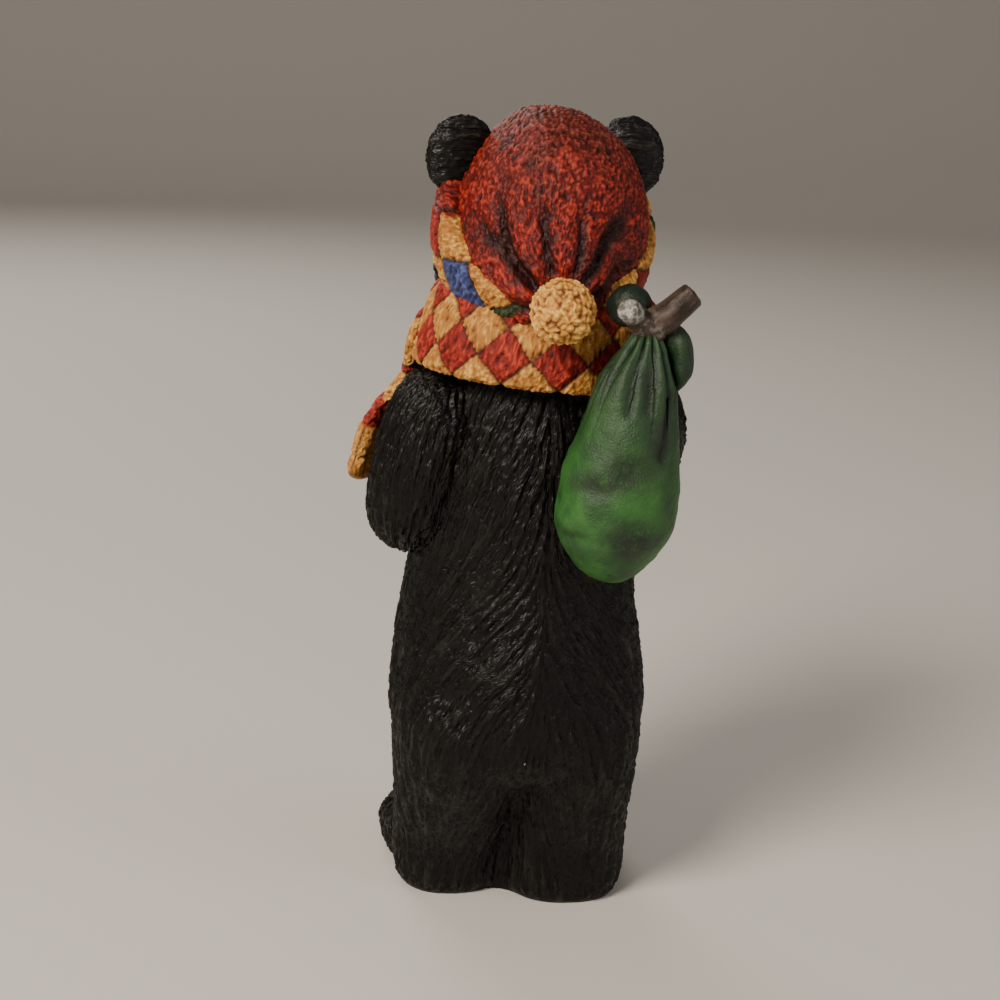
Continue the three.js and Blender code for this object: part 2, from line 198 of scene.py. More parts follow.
def skin(around, rows):
    """Shares along, angles round and triangles of a closed skin whose two ends are single points."""
    ring = np.arange(around)
    along = np.concatenate([[0], np.repeat(np.arange(1, rows) / rows, around), [1]])
    angle = np.concatenate([[0], np.tile(ring * TURN / around, rows - 1), [0]])
    after = (ring + 1) % around
    starts = 1 + np.arange(rows - 2)[:, None] * around
    a, b = (starts + ring).ravel(), (starts + after).ravel()
    c, d = b + around, a + around
    last = 1 + (rows - 2) * around
    top = np.stack([np.zeros(around, int), 1 + after, 1 + ring], 1)
    bottom = np.stack([np.full(around, last + around), last + ring, last + after], 1)
    faces = np.concatenate([top, np.stack([a, b, c], 1), np.stack([a, c, d], 1), bottom])
    return along, angle, faces


def ball(centre, radii, turn=(0, 0, 0), around=48, rows=32, carve=None):
    along, angle, faces = skin(around, rows)
    polar = along * math.pi
    direction = np.stack([np.sin(polar) * np.cos(angle), np.sin(polar) * np.sin(angle), np.cos(polar)], 1)
    points = direction * np.asarray(radii, float)
    if carve:
        points = points + direction * carve(direction)[:, None]
    return outward(points @ turned(turn).T + centre, faces)


def limb(stations, around=64, rows=80, across=(1, 0, 0), dome=0.14, square=1, carve=None):
    """A rounded form along stations (x, y, z, half width, half depth), with domed ends."""
    stations = np.asarray(stations, float)
    along, angle, faces = skin(around, rows)
    to_end = np.minimum(along, 1 - along) / dome
    closing = np.sqrt(np.clip(1 - np.clip(1 - to_end, 0, 1) ** 2, 0, 1))
    line = stations[:, :3]
    tangent = unit(on_curve(line, np.minimum(along + 1e-4, 1)) - on_curve(line, np.maximum(along - 1e-4, 0)))
    across = np.asarray(across, float)
    width = unit(across - tangent * (tangent @ across)[:, None])
    depth = np.cross(tangent, width)
    girth = on_curve(np.column_stack([stations[:, 3:5], np.zeros(len(stations))]), along)
    proud = closing * carve(along, angle) if carve else 0
    wide = drawn(np.cos(angle), square) * (girth[:, 0] * closing + proud)
    deep = drawn(np.sin(angle), square) * (girth[:, 1] * closing + proud)
    points = on_curve(line, along) + width * wide[:, None] + depth * deep[:, None]
    return outward(points, faces)


def together(forms):
    starts = np.cumsum([0] + [len(points) for points, _ in forms[:-1]])
    points = np.concatenate([points for points, _ in forms])
    faces = np.concatenate([faces + start for (_, faces), start in zip(forms, starts)])
    return points, faces


# Meshes


def mesh_of(name, points, faces):
    mesh = bpy.data.meshes.new(name)
    mesh.vertices.add(len(points))
    mesh.vertices.foreach_set("co", np.ascontiguousarray(points, np.float32).ravel())
    mesh.loops.add(faces.size)
    mesh.loops.foreach_set("vertex_index", np.ascontiguousarray(faces, np.int32).ravel())
    mesh.polygons.add(len(faces))
    mesh.polygons.foreach_set("loop_start", np.arange(len(faces), dtype=np.int32) * 3)
    mesh.update(calc_edges=True)
    return mesh


def placed(name, data):
    """A new object in the scene, made of data."""
    obj = bpy.data.objects.new(name, data)
    bpy.context.scene.collection.objects.link(obj)
    return obj


def with_modifiers(form, *modifiers):
    """A form after Blender's modifiers, each given as its kind and settings."""
    mesh = mesh_of("form", *form)
    obj = placed("form", mesh)
    for kind, settings in modifiers:
        modifier = obj.modifiers.new(kind, kind)
        for key, value in settings.items():
            setattr(modifier, key, value)
    made = bpy.data.meshes.new_from_object(obj.evaluated_get(bpy.context.evaluated_depsgraph_get()))
    made.calc_loop_triangles()
    points = np.empty(len(made.vertices) * 3, np.float32)
    made.vertices.foreach_get("co", points)
    faces = np.empty(len(made.loop_triangles) * 3, np.int32)
    made.loop_triangles.foreach_get("vertices", faces)
    bpy.data.objects.remove(obj)
    bpy.data.meshes.remove(mesh)
    bpy.data.meshes.remove(made)
    return points.reshape(-1, 3).astype(float), faces.reshape(-1, 3)


def merged(forms, voxel, rounds):
    """One skin round all the forms, in even faces, its creases eased by rounds of smoothing."""
    remeshed = ("REMESH", {"mode": "VOXEL", "voxel_size": voxel})
    eased = ("SMOOTH", {"factor": 0.5, "iterations": rounds})
    return with_modifiers(together(forms), remeshed, eased)


def normals(points, faces):
    a, b, c = (points[faces[:, k]] for k in range(3))
    flat = np.cross(b - a, c - a)
    total = np.zeros_like(points)
    for axis in range(3):
        for corner in range(3):
            total[:, axis] += np.bincount(faces[:, corner], flat[:, axis], len(points))
    return unit(total)


def thinned(points, faces, values, limit):
    """Fewer triangles, most of them kept where the carving is, with the values of the nearest old points."""
    if len(faces) <= limit:
        return points, faces, values
    kept, triangles = with_modifiers((points, faces), ("DECIMATE", {"ratio": limit / len(faces)}))
    nearest = nearest_of(points, kept)
    return kept, triangles, {name: value[nearest] for name, value in values.items()}


def nearest_of(points, wanted):
    """For each wanted point, the index of the nearest of points."""
    tree = kdtree.KDTree(len(points))
    for i, point in enumerate(points.tolist()):
        tree.insert(point, i)
    tree.balance()
    return np.array([tree.find(point)[1] for point in wanted.tolist()])


def piece(name, form, material, values=None):
    """A piece of the casting in the row's frame, with a number for each point under each name in values."""
    points, faces = form
    mesh = mesh_of(name, (points - MIDDLE) * MM, faces)
    mesh.shade_smooth()
    for key, value in (values or {}).items():
        kind, field = ("FLOAT", "value") if value.ndim == 1 else ("FLOAT_VECTOR", "vector")
        mesh.attributes.new(key, kind, "POINT").data.foreach_set(field, value.astype(np.float32).ravel())
    mesh.materials.append(material)
    obj = placed(name, mesh)
    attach(obj, "root")
    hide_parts("bear_figurine")


# Noise


class Noise:
    """Smooth noise from -1 to 1 over space, with features one unit apart."""

    def __init__(self, seed, size=64):
        self.size = size
        self.values = np.random.RandomState(seed).uniform(-1, 1, (size, size, size)).astype(np.float32)

    def __call__(self, p):
        cell = np.floor(p).astype(int)
        f = (p - cell).astype(np.float32)
        f = f * f * (3 - 2 * f)
        low = cell % self.size
        high = (low + 1) % self.size
        total = 0
        for i, x in ((low[:, 0], 1 - f[:, 0]), (high[:, 0], f[:, 0])):
            for j, y in ((low[:, 1], 1 - f[:, 1]), (high[:, 1], f[:, 1])):
                for k, z in ((low[:, 2], 1 - f[:, 2]), (high[:, 2], f[:, 2])):
                    total = total + self.values[i, j, k] * (x * y * z)
        return total


def knobs(p, seed, size=32):
    """Distance from each point to the nearest of scattered knobs, one to each unit of space."""
    spots = np.random.RandomState(seed).uniform(0.1, 0.9, (size, size, size, 3)).astype(np.float32)
    cell = np.floor(p).astype(int)
    near = np.full(len(p), 9.0)
    for step in np.ndindex(3, 3, 3):
        at = cell + np.array(step) - 1
        spot = spots[at[:, 0] % size, at[:, 1] % size, at[:, 2] % size] + at
        near = np.minimum(near, np.sum((spot - p) ** 2, 1))
    return np.sqrt(near)


def curls(p, seed):
    """Height of curly yarn, from 0 in the gaps to 1 on the loops, which are about one unit apart."""
    bend = Noise(seed)
    warped = p + 0.45 * np.stack([bend(p * 0.9), bend(p * 0.9 + 7.3), bend(p * 0.9 + 15.1)], 1)
    loops = 1 - np.minimum(1, np.abs(Noise(seed + 1)(warped * 0.62)) * 2.6)
    knots = 1 - np.minimum(1, knobs(warped * 0.9, seed) * 1.15)
    return np.clip(0.3 * loops + 0.95 * knots**0.75, 0, 1.15)


def combed(points, normal, lay, cell, length, seed):
    """Noise drawn out along the lay of the fur over length: its spread is 1, and it is high on the locks."""
    noise = Noise(seed)
    step = cell * 0.55
    total = noise(points / cell)
    for way in (1, -1):
        at = points
        for k in range(int(length / step / 2)):
            direction = lay(at)
            direction = unit(direction - normal * np.sum(direction * normal, 1)[:, None])
            at = at + direction * (step * way)
            total = total + noise(at / cell)
    return total / total.std()


# Fur


def fur_lay(p):
    """The way the fur lies on the body: down, and outwards from the parting."""
    from_parting = np.tanh((p[:, 0] - PARTING) / 5)
    eased = 1 - FAN_EASING * smoothstep(*FAN_EASES, p[:, 2])
    fan = FAN_LEAST + FAN_MORE * smoothstep(*FAN_BEGINS, p[:, 2]) * eased
    return unit(np.stack([from_parting * fan, 0 * fan, np.full(len(p), -1.0)], 1))


def furred(form, lay, seed, relief=0.44, cell=0.76, bare=None):
    """Carves locks of fur into a form, and gives the height of each point on its lock."""
    points, faces = form
    normal = normals(points, faces)
    coarse = combed(points, normal, lay, cell, LOCK_LENGTH * 1.2, seed)
    fine = combed(points, normal, lay, cell * 0.8, LOCK_LENGTH * 0.9, seed + 1)
    ridges = 1 - 2 * np.minimum(1, np.abs(fine) * 1.1)
    locks = 0.75 * np.tanh(1.2 * coarse) + 0.45 * ridges
    weight = 1.0 if bare is None else 1 - bare(points)
    off_ground = smoothstep(0.1, 2.5, points[:, 2])
    height = relief * locks * weight * off_ground
    moved = points + normal * height[:, None]
    moved[:, 2] = np.maximum(moved[:, 2], 0)
    return moved, faces, {"lock": locks * weight * 0.5 + 0.5}


# Bear


def torso_form():
    return limb(
        [
            (0.6, 1, 29, 14, 14),
            (0.9, 0.5, 38, 26, 22.5),
            (1.2, 0, 50, 29.4, 25.5),
            (1.6, -1, 62, 28.3, 25.5),
            (1.6, -1.5, 78, 26, 24),
            (1.2, 0, 94, 24.2, 22),
            (0.6, 1, 108, 23.5, 20),
            (0, 1, 122, 21, 17.5),
            (0, 0, 138, 13, 13),
        ],
        around=96,
        dome=0.1,
    )


def leg_forms(side, hip, ankle, stride, toe_out):
    """The column of a leg, and its foot and toes."""

    def station(z, part, narrower, deep):
        stance, wide = (hip[k] + (ankle[k] - hip[k]) * part for k in range(2))
        return (stance * side, 1 + (stride - 1) * part, z, wide - narrower, deep)

    column = limb(
        [
            station(62, 0, 1.5, 18),
            station(46, 0, 0, 21.5),
            station(30, 0.45, 0, 18),
            station(16, 0.9, 0, 14.6),
            station(5, 1, 0, 13.2),
            station(-5, 1, 0.6, 12.6),
        ],
        dome=0.16,
        square=0.84,
    )
    turn = math.radians(toe_out) * side
    forward = np.array([math.sin(turn), -math.cos(turn), 0])
    sideways = np.array([math.cos(turn), math.sin(turn), 0])

    def on_foot(ahead, out, up):
        return np.array([ankle[0] * side, stride, up]) + forward * ahead + sideways * out

    foot = [ball(on_foot(13, 0, 6), (13.2, 18, 10), turn=(0, 0, toe_out * side))]
    for out in np.linspace(-8, 8, TOES):
        size = TOE_DIAMETER / 2
        foot.append(ball(on_foot(28.5 - out * out / 14, out, 4.6), (size, size * 1.3, size * 1.1)))
    return column, foot


def between_legs():
    return limb([(0.6, 2, 42, 9, 15), (0.4, 0, 26, 7, 6), (-0.5, -4, 10, 7, 5), (-0.5, -4, -6, 7, 5)])


def make_body(material):
    left, left_foot = leg_forms(1, (15, 14.4), (13.8, 12.9), -9.3, 6)
    right, right_foot = leg_forms(-1, (13.3, 13.4), (12.8, 14.3), -3.4, 6)
    trunk = merged([torso_form(), left, right, between_legs()], 1.0, 36)
    fine = merged([trunk, *left_foot, *right_foot], 0.36, 3)
    points, faces, values = thinned(*furred(fine, fur_lay, 5), BODY_FACES)
    piece("fur_body", (points, faces), material, values)


def arm_lay(shoulder, elbow, wrist):
    """Fur lies down the upper arm and on along the forearm."""
    upper = unit(np.array(elbow) - shoulder)
    fore = unit(np.array(wrist) - elbow)

    def lay(p):
        past = smoothstep(-6, 6, (p - elbow) @ fore)[:, None]
        return unit(upper * (1 - past) + fore * past)

    return lay


def paw_forms(centre, radii, across, reach):
    size = FINGER_DIAMETER / 2
    fingers = [
        ball(np.array(centre) + unit(np.array(across)) * out + np.array(reach) * 6.5, (size, size, size))
        for out in np.linspace(-6.25, 6.25, FINGERS)
    ]
    return [ball(centre, radii), *fingers]


def comb_along(points, line):
    """Places of points beside a line and along it, drawn out so that noise over them runs along the line."""
    spine = on_curve(line, np.linspace(0, 1, 80))
    flow = unit(np.gradient(spine, axis=0))
    wide = [unit(np.cross(flow[0], [0, 1, 0.3]))]
    for tangent in flow[1:]:
        wide.append(unit(wide[-1] - tangent * (wide[-1] @ tangent)))
    wide = np.array(wide)
    deep = np.cross(flow, wide)
    length = np.concatenate([[0], np.cumsum(np.linalg.norm(np.diff(spine, axis=0), axis=1))])
    near = np.argmin(np.sum((points[:, None, :] - spine[None]) ** 2, 2), 1)
    away = points - spine[near]
    along = length[near] + np.sum(away * flow[near], 1)
    return np.stack([np.sum(away * wide[near], 1), np.sum(away * deep[near], 1), along * STRETCH], 1)


def make_arm(name, stations, paw, lay, material, seed):
    arm = merged([limb(stations), *paw], 0.33, 4)
    points, faces, values = thinned(*furred(arm, lay, seed), ARM_FACES)
    values["comb"] = comb_along(points, [at[:3] for at in stations])
    piece(name, (points, faces), material, values)


def make_arms(material):
    left = [
        (12.5, 3, 123.5, 7.5, 9),
        (21.8, 1, 115.5, 10.8, 13),
        (25.6, 1, 105, 10.6, 13),
        (26.8, 0, 95, 10.4, 11),
        (25, -12, 92.5, 9.5, 9),
        (18, -25, 93, 8.5, 8.5),
        (10, -30, 94, 7.5, 7.5),
    ]
    paw = paw_forms((11, -29, 93), (8.5, 6.5, 8), (0, 0, 1), unit(np.array([-0.9, -0.35, 0.1])))
    make_arm("left_arm", left, paw, arm_lay((23, 3, 122), (28, 0, 94), (10, -30, 94)), material, 11)
    right = [
        (-13, 3, 124, 8, 9),
        (-21.5, 1, 115, 11, 12),
        (-23.5, -8, 103, 10.5, 11),
        (-23.5, -18, 96, 10, 10),
        (-21.5, -28, 101, 9, 9),
        (-20, -31, 110, 8, 8),
    ]
    paw = paw_forms((-20.5, -32, 111), (8, 8, 7.5), (0, -0.62, -0.78), (0.75, -0.5, 0.4))
    make_arm("right_arm", right, paw, arm_lay((-21, 3, 120), (-24, -17, 95), (-20, -31, 112)), material, 13)


def ear_form(side):
    return ball(
        (HEAD_MIDDLE + 18.4 * side, -3, 171.4 - 0.6 * side),
        (EAR_WIDTH / 2, EAR_THICKNESS / 2, EAR_HEIGHT / 2),
        turn=(0, -10 * side, 8 * side),
        carve=lambda d: -0.45 * EAR_THICKNESS * np.maximum(0, -d[:, 1]) ** 3,
    )


def head_lay(p):
    """Fur lies back from the nose over the face, and outwards across the ears."""
    back = unit(p - NOSE_CENTRE)
    aside = p[:, 0] - HEAD_MIDDLE
    on_ear = (smoothstep(9, 12, np.abs(aside)) * smoothstep(161, 164, p[:, 2]))[:, None]
    across = unit(np.stack([np.sign(aside), 0 * aside, 0.18 * np.sin(p[:, 2])], 1))
    return unit(back * (1 - on_ear) + across * on_ear)


def nose_mask(p):
    """1 on the nose, where no fur is carved, and 0 elsewhere."""
    return 1 - smoothstep(1.05, 1.25, np.linalg.norm((p - NOSE_CENTRE) / NOSE_RADII, axis=1))


def make_head(material):
    forms = [
        ball(HEAD_CENTRE, (20.5, 20.5, 19)),
        ball(MUZZLE_ROOT, (9.2, MUZZLE_LENGTH, 7.6), turn=(-4, 0, 0)),
        ball((HEAD_MIDDLE, -18, 144.6), (6.6, 9.5, 4.4)),
        *(ball((HEAD_MIDDLE + 11 * side, -10, 146), (11, 11, 9.5)) for side in (1, -1)),
    ]
    face = merged(forms, 0.8, 3)
    nose = ball(NOSE_CENTRE, NOSE_RADII)
    fine = merged([face, nose, ear_form(1), ear_form(-1)], 0.36, 2)
    carved = furred(fine, head_lay, 21, relief=0.28, cell=0.75, bare=nose_mask)
    points, faces, values = thinned(*carved, HEAD_FACES)
    from_nose = points - NOSE_CENTRE
    radial = unit(from_nose) * (20 + np.linalg.norm(from_nose, axis=1)[:, None] * STRETCH)
    on_ear = (np.abs(points[:, 0] - HEAD_MIDDLE) > 10.5) & (points[:, 2] > 163)
    values["comb"] = np.where(on_ear[:, None], points * [STRETCH, 1, 1], radial)
    piece("head", (points, faces), material, values)


def make_eyes(material):
    radius = EYE_DIAMETER / 2
    for name, side in (("left_eye", 1), ("right_eye", -1)):
        centre = (HEAD_MIDDLE + 7.4 * side, -20.9, 157.2)
        piece(name, ball(centre, (radius, radius, radius), around=32, rows=20), material)


# Cap


def cap_valleys(angle, polar):
    """How deep the folds gathered at the pompom press the cap in, in millimetres."""
    depth = 0 * angle
    for at, drift, reach, deep in CAP_VALLEYS:
        off = (np.degrees(angle) - at - drift * polar + 180) % 360 - 180
        beside = np.radians(off) * np.sin(polar) * CAP_RADII[0]
        near = (1 - smoothstep(0.45 * reach, 1.15 * reach, polar)) * smoothstep(0.1, 0.3, polar)
        depth = depth + deep * near * np.exp(-((beside / (0.5 + 1.5 * polar)) ** 2))
    return depth


def make_cap(material):
    around, rows = ((480, 158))
    along, angle, faces = skin(around, rows)
    to_pompom = unit(POMPOM_CENTRE - CAP_CENTRE)
    side = unit(np.cross(to_pompom, [0, 0, 1.0]))
    over = np.cross(side, to_pompom)
    polar = along * math.pi
    round_pole = np.cos(angle)[:, None] * side + np.sin(angle)[:, None] * over
    direction = np.cos(polar)[:, None] * to_pompom + np.sin(polar)[:, None] * round_pole
    tilt = math.radians(BAND_TILT)
    over_brim = direction @ [0, math.sin(tilt), math.cos(tilt)]
    at_ear = direction @ unit(np.array([0.86, 0.25, 0.44]))
    size = 1.045 + 0.18 * smoothstep(0.8, 1, np.cos(polar))
    size = size - 0.045 * smoothstep(-0.1, 1.4, over_brim) - 0.14 * smoothstep(0.6, 1, at_ear)
    smooth = CAP_CENTRE + direction * CAP_RADII * size[:, None]
    valley = cap_valleys(angle + 0.07 * Noise(31)(smooth / 6), polar)
    loops = curls(smooth / LOOP_SIZE, 33)
    lumps = Noise(37)(smooth / 7)
    height = 0.35 - valley + 0.3 * lumps + 0.6 * (loops - 0.5)
    points = smooth + direction * height[:, None]
    values = {"knob": np.clip(loops, 0, 1), "crease_shade": np.clip(valley, 0, 1)}
    piece("cap", outward(points, faces), material, values)


# Knitted rings, with lozenges cut in their outer faces


def lozenge_lines(u, v):
    """Distance to the nearest line cut between lozenges, in lozenges."""
    down = np.abs((u + v) - np.round(u + v))
    up = np.abs((u - v) - np.round(u - v))
    return np.minimum(down, up)


def knitted(points, normal, u, v, seed):
    """Carves knitting and the lines between lozenges, and gives each point's place in the pattern."""
    hand = Noise(seed + 5)
    u = u + 0.035 * hand(points / 2.6)
    v = v + 0.035 * hand(points / 2.6 + 9.5)
    lines = lozenge_lines(u, v)
    loops = curls(points / LOOP_SIZE, seed)
    cut = np.exp(-((lines / 0.04) ** 2))
    height = 0.5 * (loops - 0.5) + np.minimum(lines, 0.2) * 0.8 - 0.45 * cut
    return points + normal * height[:, None], {"knob": np.clip(loops, 0, 1), "cut": cut, "u": u, "v": v}


def ring_form(centre, radii, turn, width, thickness, flare, around, steps, seam=0.0):
    """A flat band bent to a ring that starts at seam. Its points' angles round it and shares up its width."""
    ring = np.tile(np.arange(around), steps)
    step = np.repeat(np.arange(steps), around)
    angle = ring * TURN / around + seam
    section = step * TURN / steps
    across = 0.5 * drawn(np.sin(section), 0.75)
    c = np.cos(section)
    proud = np.where(c > 0, 0.5 * thickness * drawn(c, 0.55), thickness * c)
    out = np.stack([np.sin(angle), -np.cos(angle), 0 * angle], 1)
    points = out * [radii[0], radii[1], 0] + out * (proud - flare * across)[:, None]
    points[:, 2] = across * width
    points = points @ turned(turn).T + centre
    right, up = (ring + 1) % around, (step + 1) % steps
    a, b = step * around + ring, step * around + right
    c, d = up * around + right, up * around + ring
    faces = np.concatenate([np.stack([a, b, c], 1), np.stack([a, c, d], 1)])
    points, faces = outward(points, faces)
    return points, faces, angle, across


def make_band(material):
    around, steps = ((500, 64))
    points, faces, angle, across = ring_form(
        BAND_CENTRE, BAND_RADII, (-BAND_TILT, 0, 0), BAND_WIDTH, BAND_THICKNESS, 0, around, steps, -math.pi
    )
    normal = normals(points, faces)
    points, values = knitted(points, normal, (angle / TURN + 1) * BAND_LOZENGES, across, 41)
    piece("cap_band", (points, faces), material, values)


def make_pompom(material):
    radius = POMPOM_DIAMETER / 2 - 0.2
    around, rows = ((180, 112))
    points, faces = ball((0, 0, 0), (radius, radius, radius), around=around, rows=rows)
    loops = curls(points / POMPOM_LOOP, 51)
    points = points * (1 + 0.8 * (loops - 0.6) / radius)[:, None] + POMPOM_CENTRE
    piece("pompom", (points, faces), material, {"knob": np.clip(loops, 0, 1)})


# Scarf


def make_wrap(material):
    around, steps = ((560, 76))
    size = (SCARF_WIDTH, SCARF_THICKNESS, SCARF_FLARE)
    points, faces, angle, across = ring_form(
        SCARF_CENTRE, SCARF_RADII, (0, -SCARF_TILT, 0), *size, around, steps, math.radians(24)
    )
    u, v = angle / TURN * SCARF_LOZENGES + 0.5, (across + 0.5) * 1.5 - 0.5
    points, values = knitted(points, normals(points, faces), u, v, 61)
    values.update({"fringe": 0 * u, "dyed": 0 * u})
    piece("scarf_wrap", (points, faces), material, values)


def make_tail(name, line, widths, across, material, seed):
    """A hanging end of the scarf, with its fringe."""
    stations = [(*at, TAIL_WIDTH / 2 * wide, TAIL_THICKNESS / 2) for at, wide in zip(line, widths)]
    around, rows = ((150, 142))
    squareness = 0.8
    smooth, faces = limb(stations, around, rows, across, dome=0.05, square=squareness)
    along, angle, _ = skin(around, rows)
    sideways = drawn(np.cos(angle), squareness)
    fringe = smoothstep(0.79, 0.8, along)
    strand = np.abs(np.sin(math.pi / 2 * (sideways + 1) * FRINGE_STRANDS))
    normal = normals(smooth, faces)
    points, values = knitted(smooth, normal, sideways * 0.43 + 0.5, along * 4.3, seed)
    twist = np.sin(along * 230 + sideways * 9)
    points = points + normal * (fringe * (strand - 0.7 + 0.1 * twist))[:, None]
    points = points + (smooth - points) * smoothstep(0.92, 0.98, along)[:, None]
    values["fringe"] = fringe
    values["dyed"] = smoothstep(0.68, 0.69, along) - fringe
    values["cut"] = np.where(along > 0.67, 0.6 * fringe * (1 - smoothstep(0.05, 0.35, strand)), values["cut"])
    values["knob"] = values["knob"] * (1 - 0.5 * fringe) + 0.35 * fringe
    piece(name, (points, faces), material, values)


def make_scarf(material):
    make_wrap(material)
    over_shoulder = [
        (16.5, -10, 141),
        (23.1, -10.5, 134.5),
        (26, -12, 122),
        (32.8, -12.5, 112.5),
        (37.2, -12.5, 97),
    ]
    down_front = [(9, -20, 132), (7, -26.5, 124), (4, -29, 112), (1.5, -30, 101), (0, -30.5, 88)]
    make_tail("scarf_tail_left", over_shoulder, (1, 1.1, 1, 1.02, 1.08), (-0.45, -0.89, 0), material, 65)
    make_tail("scarf_tail_front", down_front, (0.72, 0.9, 1, 1, 1.04), (1, 0, 0), material, 67)
    smooth, faces = ball(KNOT_CENTRE, (7, 5.5, 6.5), around=90, rows=60)
    u, _, v = ((smooth - KNOT_CENTRE) / 11).T
    points, values = knitted(smooth, normals(smooth, faces), u, v, 69)
    values.update({"fringe": 0 * u, "dyed": 0 * u})
    piece("scarf_knot", (points, faces), material, values)


# Stick


def along_stick(line):
    """The lay of the grain: along the line."""
    spine = on_curve([at[:3] for at in line], np.linspace(0, 1, 12))
    flow = unit(np.gradient(spine, axis=0))
    return lambda p: flow[np.argmin(np.sum((p[:, None, :] - spine[None]) ** 2, 2), 1)]


def make_stick(material):
    """A shaft that is forked at its rear end, with the bark's grain along each of its branches."""
    radius = STICK_THICKNESS / 2
    shaft = [
        (-19, -44, 104, 0.95),
        (-20.5, -32, 110.5, 1),
        (-25, -14, 120, 1),
        (-26, 2, 129, 1),
        (-21, 18, 135.5, 1.05),
        (-15, 33, 141, 1.15),
    ]
    long_prong = [(-14.5, 30, 140.5, 1.15), (-18.5, 31.5, 143, 1.1), (-24.2, 32.8, 148.6, 0.95)]
    short_prong = [(-16, 30, 139.5, 1), (-12.5, 33, 143, 0.9), (-9.3, 36.6, 145.6, 0.8)]
    forms = [
        limb([(x, y, z, radius * size, radius * size) for x, y, z, size in line], dome=dome)
        for line, dome in ((shaft, 0.02), (long_prong, 0.06), (short_prong, 0.05))
    ]
    points, faces = merged(forms, 0.3, 2)
    normal = normals(points, faces)
    lays = [along_stick(line) for line in (shaft, long_prong, short_prong)]
    in_fork = points[:, 1] > 27
    on_prong = [in_fork & (points[:, 0] < -16.5), in_fork & (points[:, 0] > -13.5)]
    branch = np.select(on_prong, [1, 2], 0)
    bark = np.tanh(np.choose(branch, [combed(points, normal, lay, 0.9, 8, 71) for lay in lays]))
    points = points + normal * (0.14 * bark + 0.3 * Noise(73)(points / 5))[:, None]
    points, faces, values = thinned(points, faces, {"bark": bark * 0.5 + 0.5}, STICK_FACES)
    piece("stick", (points, faces), material, values)


# Bundle


def make_bundle(material):
    wide, deep = BUNDLE_WIDTH / 2, BUNDLE_DEPTH / 2
    stations = [
        (-15.6, 31, 141, 0.28, 0.32),
        (-15.3, 31, 137, 0.34, 0.4),
        (-14.2, 31.2, 129, 0.64, 0.62),
        (-13.2, 31.2, 120.5, 0.79, 0.8),
        (-12.2, 31, 109, 0.98, 0.97),
        (-11.5, 30.5, 101, 1, 1),
        (-11.7, 30, 93, 0.88, 0.9),
        (-12.3, 29.5, 86.4, 0.7, 0.75),
    ]
    stations = [(x, y, z, w * wide, d * deep) for x, y, z, w, d in stations]
    around, rows = ((270, 186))
    drift = Noise(81)

    def pleat(along, angle):
        wander = 0.35 * drift(np.stack([np.cos(angle) * 2, np.sin(angle) * 2, along * 3], 1))
        turn = angle / TURN * BUNDLE_FOLDS + wander
        long = 0.4 + 0.16 * np.sin(np.floor(turn) * 2.1)
        near = 1 - smoothstep(0.12, long, along)
        return 2.0 * near * (np.abs(np.sin(turn * math.pi)) ** 0.7 - 0.6)

    smooth, faces = limb(stations, around, rows, dome=0.3, carve=pleat)
    along, angle, _ = skin(around, rows)
    folds = pleat(along, angle)
    below = smoothstep(0.2, 0.45, along)
    dents = sum(np.exp(-np.sum(((smooth - at) / size) ** 2, 1)) for at, size in BUNDLE_DENTS)
    for start, end, size, depth in BUNDLE_GROOVES:
        start, run = np.array(start), np.subtract(end, start)
        share = np.clip((smooth - start) @ run / (run @ run), 0, 1)
        beside = np.linalg.norm(smooth - start - share[:, None] * run, axis=1)
        groove = depth * np.exp(-((beside / size) ** 2))
        folds = folds - groove
        dents = dents + groove
    height = 0.3 * below * Noise(83)(smooth / 7) - 0.9 * dents + 0.1 * Noise(85)(smooth / 2.2)
    height = height + 0.05 * Noise(84)(smooth / 0.8)
    points = smooth + normals(smooth, faces) * height[:, None]
    piece("bundle", (points, faces), material, {"fold": np.clip(folds * 0.45 + 0.62, 0, 1)})


def make_ties(material):
    """The knotted corners of the cloth: one hangs beside the bundle, and one lies over the stick."""
    hanging = [
        (-19, 30, 139, 2.5, 3),
        (-21.8, 29.5, 138.5, 2.6, 3.4),
        (-23.2, 29.5, 133.5, 2.5, 4),
        (-22.6, 30, 127.6, 1.8, 3),
    ]
    over_stick = ball(OVER_STICK, (4.6, 4.2, 4.4))
    smooth, faces = merged([limb(hanging, dome=0.2), over_stick], 0.3, 3)
    normal = normals(smooth, faces)
    creases = np.tanh(combed(smooth, normal, lambda p: np.tile([0.1, 0, -1.0], (len(p), 1)), 1.6, 9, 87))
    points = smooth + normal * (0.16 * creases)[:, None]
    points, faces, values = thinned(points, faces, {"fold": 0.62 + 0.25 * creases}, TIES_FACES)
    piece("bundle_ties", (points, faces), material, values)


# Materials


class Value:
    """A socket that carries a number or a colour, with the arithmetic that a material needs."""

    def __init__(self, paint, socket):
        self.paint = paint
        self.socket = socket

    def maths(self, operation, other=0.0, first=None):
        sides = (self, other) if first is None else (first, self)
        return self.paint.node("ShaderNodeMath", {"operation": operation}, dict(enumerate(sides)))[0]

    def __add__(self, other):
        return self.maths("ADD", other)

    def __sub__(self, other):
        return self.maths("SUBTRACT", other)

    def __mul__(self, other):
        return self.maths("MULTIPLY", other)

    def __truediv__(self, other):
        return self.maths("DIVIDE", other)

    def __rsub__(self, other):
        return self.maths("SUBTRACT", first=other)

    __radd__ = __add__
    __rmul__ = __mul__

    def above(self, low, high):
        """0 below low, 1 above high, and smooth between."""
        settings = {"interpolation_type": "SMOOTHSTEP"}
        return self.paint.node("ShaderNodeMapRange", settings, {0: self, 1: low, 2: high})[0]


